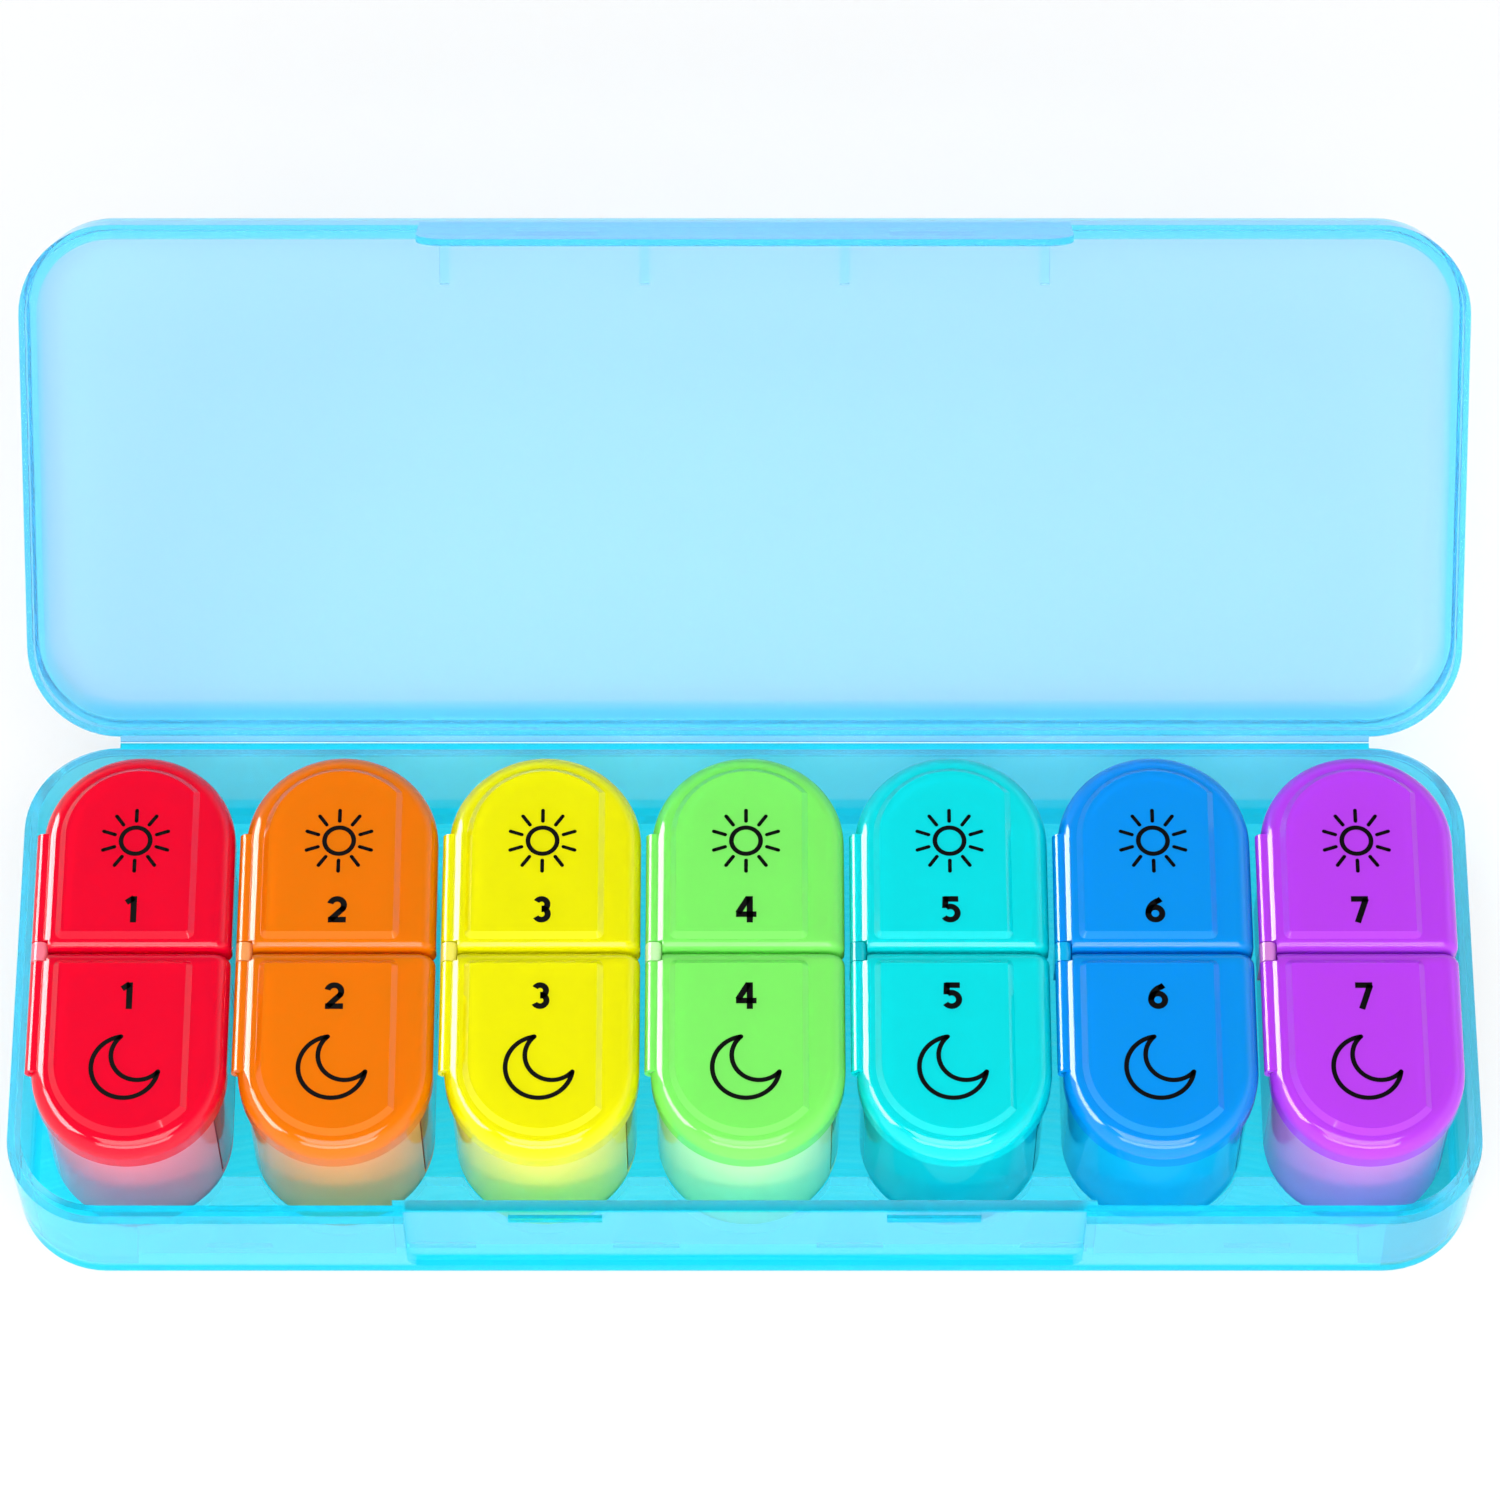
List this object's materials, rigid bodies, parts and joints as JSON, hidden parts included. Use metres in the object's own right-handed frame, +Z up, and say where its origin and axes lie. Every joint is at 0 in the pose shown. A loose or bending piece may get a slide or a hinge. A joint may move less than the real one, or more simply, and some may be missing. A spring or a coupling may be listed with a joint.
{
  "type": "weekly pill box",
  "caption": "Hinged translucent carrying case with lift-out pill pods, each with a morning and an evening compartment under side-hinged coloured lids with push-to-open buttons.",
  "frame": {"origin": "centre of the tray's underside, on the table", "axes": "+X along the length of the case, to the right; +Y towards the hinge of the case; +Z up"},
  "size_m": [0.176, 0.1185, 0.0668],
  "materials": {
    "case_plastic": "clear tinted",
    "lid_red": "clear tinted",
    "pod_red": "clear tinted",
    "lid_orange": "clear tinted",
    "pod_orange": "clear tinted",
    "lid_yellow": "clear tinted",
    "pod_yellow": "clear tinted",
    "lid_green": "clear tinted",
    "pod_green": "clear tinted",
    "lid_turquoise": "clear tinted",
    "pod_turquoise": "clear tinted",
    "lid_blue": "clear tinted",
    "pod_blue": "clear tinted",
    "lid_purple": "clear tinted",
    "pod_purple": "clear tinted"
  },
  "bodies": {
    "case_base": {"case_base": "case_plastic"},
    "case_lid": {"case_lid": "case_plastic"},
    "day1_pod": {"day1_body": "pod_red"},
    "day1_am_lid": {"day1_am_lid": "lid_red"},
    "day1_am_button": {"day1_am_button": "pod_red"},
    "day1_pm_lid": {"day1_pm_lid": "lid_red"},
    "day1_pm_button": {"day1_pm_button": "pod_red"},
    "day2_pod": {"day2_body": "pod_orange"},
    "day2_am_lid": {"day2_am_lid": "lid_orange"},
    "day2_am_button": {"day2_am_button": "pod_orange"},
    "day2_pm_lid": {"day2_pm_lid": "lid_orange"},
    "day2_pm_button": {"day2_pm_button": "pod_orange"},
    "day3_pod": {"day3_body": "pod_yellow"},
    "day3_am_lid": {"day3_am_lid": "lid_yellow"},
    "day3_am_button": {"day3_am_button": "pod_yellow"},
    "day3_pm_lid": {"day3_pm_lid": "lid_yellow"},
    "day3_pm_button": {"day3_pm_button": "pod_yellow"},
    "day4_pod": {"day4_body": "pod_green"},
    "day4_am_lid": {"day4_am_lid": "lid_green"},
    "day4_am_button": {"day4_am_button": "pod_green"},
    "day4_pm_lid": {"day4_pm_lid": "lid_green"},
    "day4_pm_button": {"day4_pm_button": "pod_green"},
    "day5_pod": {"day5_body": "pod_turquoise"},
    "day5_am_lid": {"day5_am_lid": "lid_turquoise"},
    "day5_am_button": {"day5_am_button": "pod_turquoise"},
    "day5_pm_lid": {"day5_pm_lid": "lid_turquoise"},
    "day5_pm_button": {"day5_pm_button": "pod_turquoise"},
    "day6_pod": {"day6_body": "pod_blue"},
    "day6_am_lid": {"day6_am_lid": "lid_blue"},
    "day6_am_button": {"day6_am_button": "pod_blue"},
    "day6_pm_lid": {"day6_pm_lid": "lid_blue"},
    "day6_pm_button": {"day6_pm_button": "pod_blue"},
    "day7_pod": {"day7_body": "pod_purple"},
    "day7_am_lid": {"day7_am_lid": "lid_purple"},
    "day7_am_button": {"day7_am_button": "pod_purple"},
    "day7_pm_lid": {"day7_pm_lid": "lid_purple"},
    "day7_pm_button": {"day7_pm_button": "pod_purple"}
  },
  "joints": [
    {"name": "case_lid_hinge", "type": "hinge", "parent": "case_base", "child": "case_lid", "pos_m": [0, 0.0325, 0.01645], "axis": [-1, 0, 0], "range_deg": [-139.1, 40.9]},
    {"name": "day1_lift", "type": "slide", "parent": "case_base", "child": "day1_pod", "axis": [0, 0, 1], "range_m": [0, 0.03]},
    {"name": "day1_am_lid_hinge", "type": "hinge", "parent": "day1_pod", "child": "day1_am_lid", "pos_m": [-0.0844, 0, 0.024], "axis": [0, -1, 0], "range_deg": [0, 95]},
    {"name": "day1_am_button_press", "type": "hinge", "parent": "day1_pod", "child": "day1_am_button", "pos_m": [-0.0627, 0, 0.004], "axis": [0, -1, 0], "range_deg": [0, 2], "stiffness_Nm_per_rad": 0.5},
    {"name": "day1_pm_lid_hinge", "type": "hinge", "parent": "day1_pod", "child": "day1_pm_lid", "pos_m": [-0.0844, 0, 0.024], "axis": [0, -1, 0], "range_deg": [0, 95]},
    {"name": "day1_pm_button_press", "type": "hinge", "parent": "day1_pod", "child": "day1_pm_button", "pos_m": [-0.0627, 0, 0.004], "axis": [0, -1, 0], "range_deg": [0, 2], "stiffness_Nm_per_rad": 0.5},
    {"name": "day2_lift", "type": "slide", "parent": "case_base", "child": "day2_pod", "axis": [0, 0, 1], "range_m": [0, 0.03]},
    {"name": "day2_am_lid_hinge", "type": "hinge", "parent": "day2_pod", "child": "day2_am_lid", "pos_m": [-0.0599, 0, 0.024], "axis": [0, -1, 0], "range_deg": [0, 95]},
    {"name": "day2_am_button_press", "type": "hinge", "parent": "day2_pod", "child": "day2_am_button", "pos_m": [-0.0382, 0, 0.004], "axis": [0, -1, 0], "range_deg": [0, 2], "stiffness_Nm_per_rad": 0.5},
    {"name": "day2_pm_lid_hinge", "type": "hinge", "parent": "day2_pod", "child": "day2_pm_lid", "pos_m": [-0.0599, 0, 0.024], "axis": [0, -1, 0], "range_deg": [0, 95]},
    {"name": "day2_pm_button_press", "type": "hinge", "parent": "day2_pod", "child": "day2_pm_button", "pos_m": [-0.0382, 0, 0.004], "axis": [0, -1, 0], "range_deg": [0, 2], "stiffness_Nm_per_rad": 0.5},
    {"name": "day3_lift", "type": "slide", "parent": "case_base", "child": "day3_pod", "axis": [0, 0, 1], "range_m": [0, 0.03]},
    {"name": "day3_am_lid_hinge", "type": "hinge", "parent": "day3_pod", "child": "day3_am_lid", "pos_m": [-0.0354, 0, 0.024], "axis": [0, -1, 0], "range_deg": [0, 95]},
    {"name": "day3_am_button_press", "type": "hinge", "parent": "day3_pod", "child": "day3_am_button", "pos_m": [-0.0137, 0, 0.004], "axis": [0, -1, 0], "range_deg": [0, 2], "stiffness_Nm_per_rad": 0.5},
    {"name": "day3_pm_lid_hinge", "type": "hinge", "parent": "day3_pod", "child": "day3_pm_lid", "pos_m": [-0.0354, 0, 0.024], "axis": [0, -1, 0], "range_deg": [0, 95]},
    {"name": "day3_pm_button_press", "type": "hinge", "parent": "day3_pod", "child": "day3_pm_button", "pos_m": [-0.0137, 0, 0.004], "axis": [0, -1, 0], "range_deg": [0, 2], "stiffness_Nm_per_rad": 0.5},
    {"name": "day4_lift", "type": "slide", "parent": "case_base", "child": "day4_pod", "axis": [0, 0, 1], "range_m": [0, 0.03]},
    {"name": "day4_am_lid_hinge", "type": "hinge", "parent": "day4_pod", "child": "day4_am_lid", "pos_m": [-0.0109, 0, 0.024], "axis": [0, -1, 0], "range_deg": [0, 95]},
    {"name": "day4_am_button_press", "type": "hinge", "parent": "day4_pod", "child": "day4_am_button", "pos_m": [0.0108, 0, 0.004], "axis": [0, -1, 0], "range_deg": [0, 2], "stiffness_Nm_per_rad": 0.5},
    {"name": "day4_pm_lid_hinge", "type": "hinge", "parent": "day4_pod", "child": "day4_pm_lid", "pos_m": [-0.0109, 0, 0.024], "axis": [0, -1, 0], "range_deg": [0, 95]},
    {"name": "day4_pm_button_press", "type": "hinge", "parent": "day4_pod", "child": "day4_pm_button", "pos_m": [0.0108, 0, 0.004], "axis": [0, -1, 0], "range_deg": [0, 2], "stiffness_Nm_per_rad": 0.5},
    {"name": "day5_lift", "type": "slide", "parent": "case_base", "child": "day5_pod", "axis": [0, 0, 1], "range_m": [0, 0.03]},
    {"name": "day5_am_lid_hinge", "type": "hinge", "parent": "day5_pod", "child": "day5_am_lid", "pos_m": [0.0136, 0, 0.024], "axis": [0, -1, 0], "range_deg": [0, 95]},
    {"name": "day5_am_button_press", "type": "hinge", "parent": "day5_pod", "child": "day5_am_button", "pos_m": [0.0353, 0, 0.004], "axis": [0, -1, 0], "range_deg": [0, 2], "stiffness_Nm_per_rad": 0.5},
    {"name": "day5_pm_lid_hinge", "type": "hinge", "parent": "day5_pod", "child": "day5_pm_lid", "pos_m": [0.0136, 0, 0.024], "axis": [0, -1, 0], "range_deg": [0, 95]},
    {"name": "day5_pm_button_press", "type": "hinge", "parent": "day5_pod", "child": "day5_pm_button", "pos_m": [0.0353, 0, 0.004], "axis": [0, -1, 0], "range_deg": [0, 2], "stiffness_Nm_per_rad": 0.5},
    {"name": "day6_lift", "type": "slide", "parent": "case_base", "child": "day6_pod", "axis": [0, 0, 1], "range_m": [0, 0.03]},
    {"name": "day6_am_lid_hinge", "type": "hinge", "parent": "day6_pod", "child": "day6_am_lid", "pos_m": [0.0381, 0, 0.024], "axis": [0, -1, 0], "range_deg": [0, 95]},
    {"name": "day6_am_button_press", "type": "hinge", "parent": "day6_pod", "child": "day6_am_button", "pos_m": [0.0598, 0, 0.004], "axis": [0, -1, 0], "range_deg": [0, 2], "stiffness_Nm_per_rad": 0.5},
    {"name": "day6_pm_lid_hinge", "type": "hinge", "parent": "day6_pod", "child": "day6_pm_lid", "pos_m": [0.0381, 0, 0.024], "axis": [0, -1, 0], "range_deg": [0, 95]},
    {"name": "day6_pm_button_press", "type": "hinge", "parent": "day6_pod", "child": "day6_pm_button", "pos_m": [0.0598, 0, 0.004], "axis": [0, -1, 0], "range_deg": [0, 2], "stiffness_Nm_per_rad": 0.5},
    {"name": "day7_lift", "type": "slide", "parent": "case_base", "child": "day7_pod", "axis": [0, 0, 1], "range_m": [0, 0.03]},
    {"name": "day7_am_lid_hinge", "type": "hinge", "parent": "day7_pod", "child": "day7_am_lid", "pos_m": [0.0626, 0, 0.024], "axis": [0, -1, 0], "range_deg": [0, 95]},
    {"name": "day7_am_button_press", "type": "hinge", "parent": "day7_pod", "child": "day7_am_button", "pos_m": [0.0843, 0, 0.004], "axis": [0, -1, 0], "range_deg": [0, 2], "stiffness_Nm_per_rad": 0.5},
    {"name": "day7_pm_lid_hinge", "type": "hinge", "parent": "day7_pod", "child": "day7_pm_lid", "pos_m": [0.0626, 0, 0.024], "axis": [0, -1, 0], "range_deg": [0, 95]},
    {"name": "day7_pm_button_press", "type": "hinge", "parent": "day7_pod", "child": "day7_pm_button", "pos_m": [0.0843, 0, 0.004], "axis": [0, -1, 0], "range_deg": [0, 2], "stiffness_Nm_per_rad": 0.5}
  ]
}
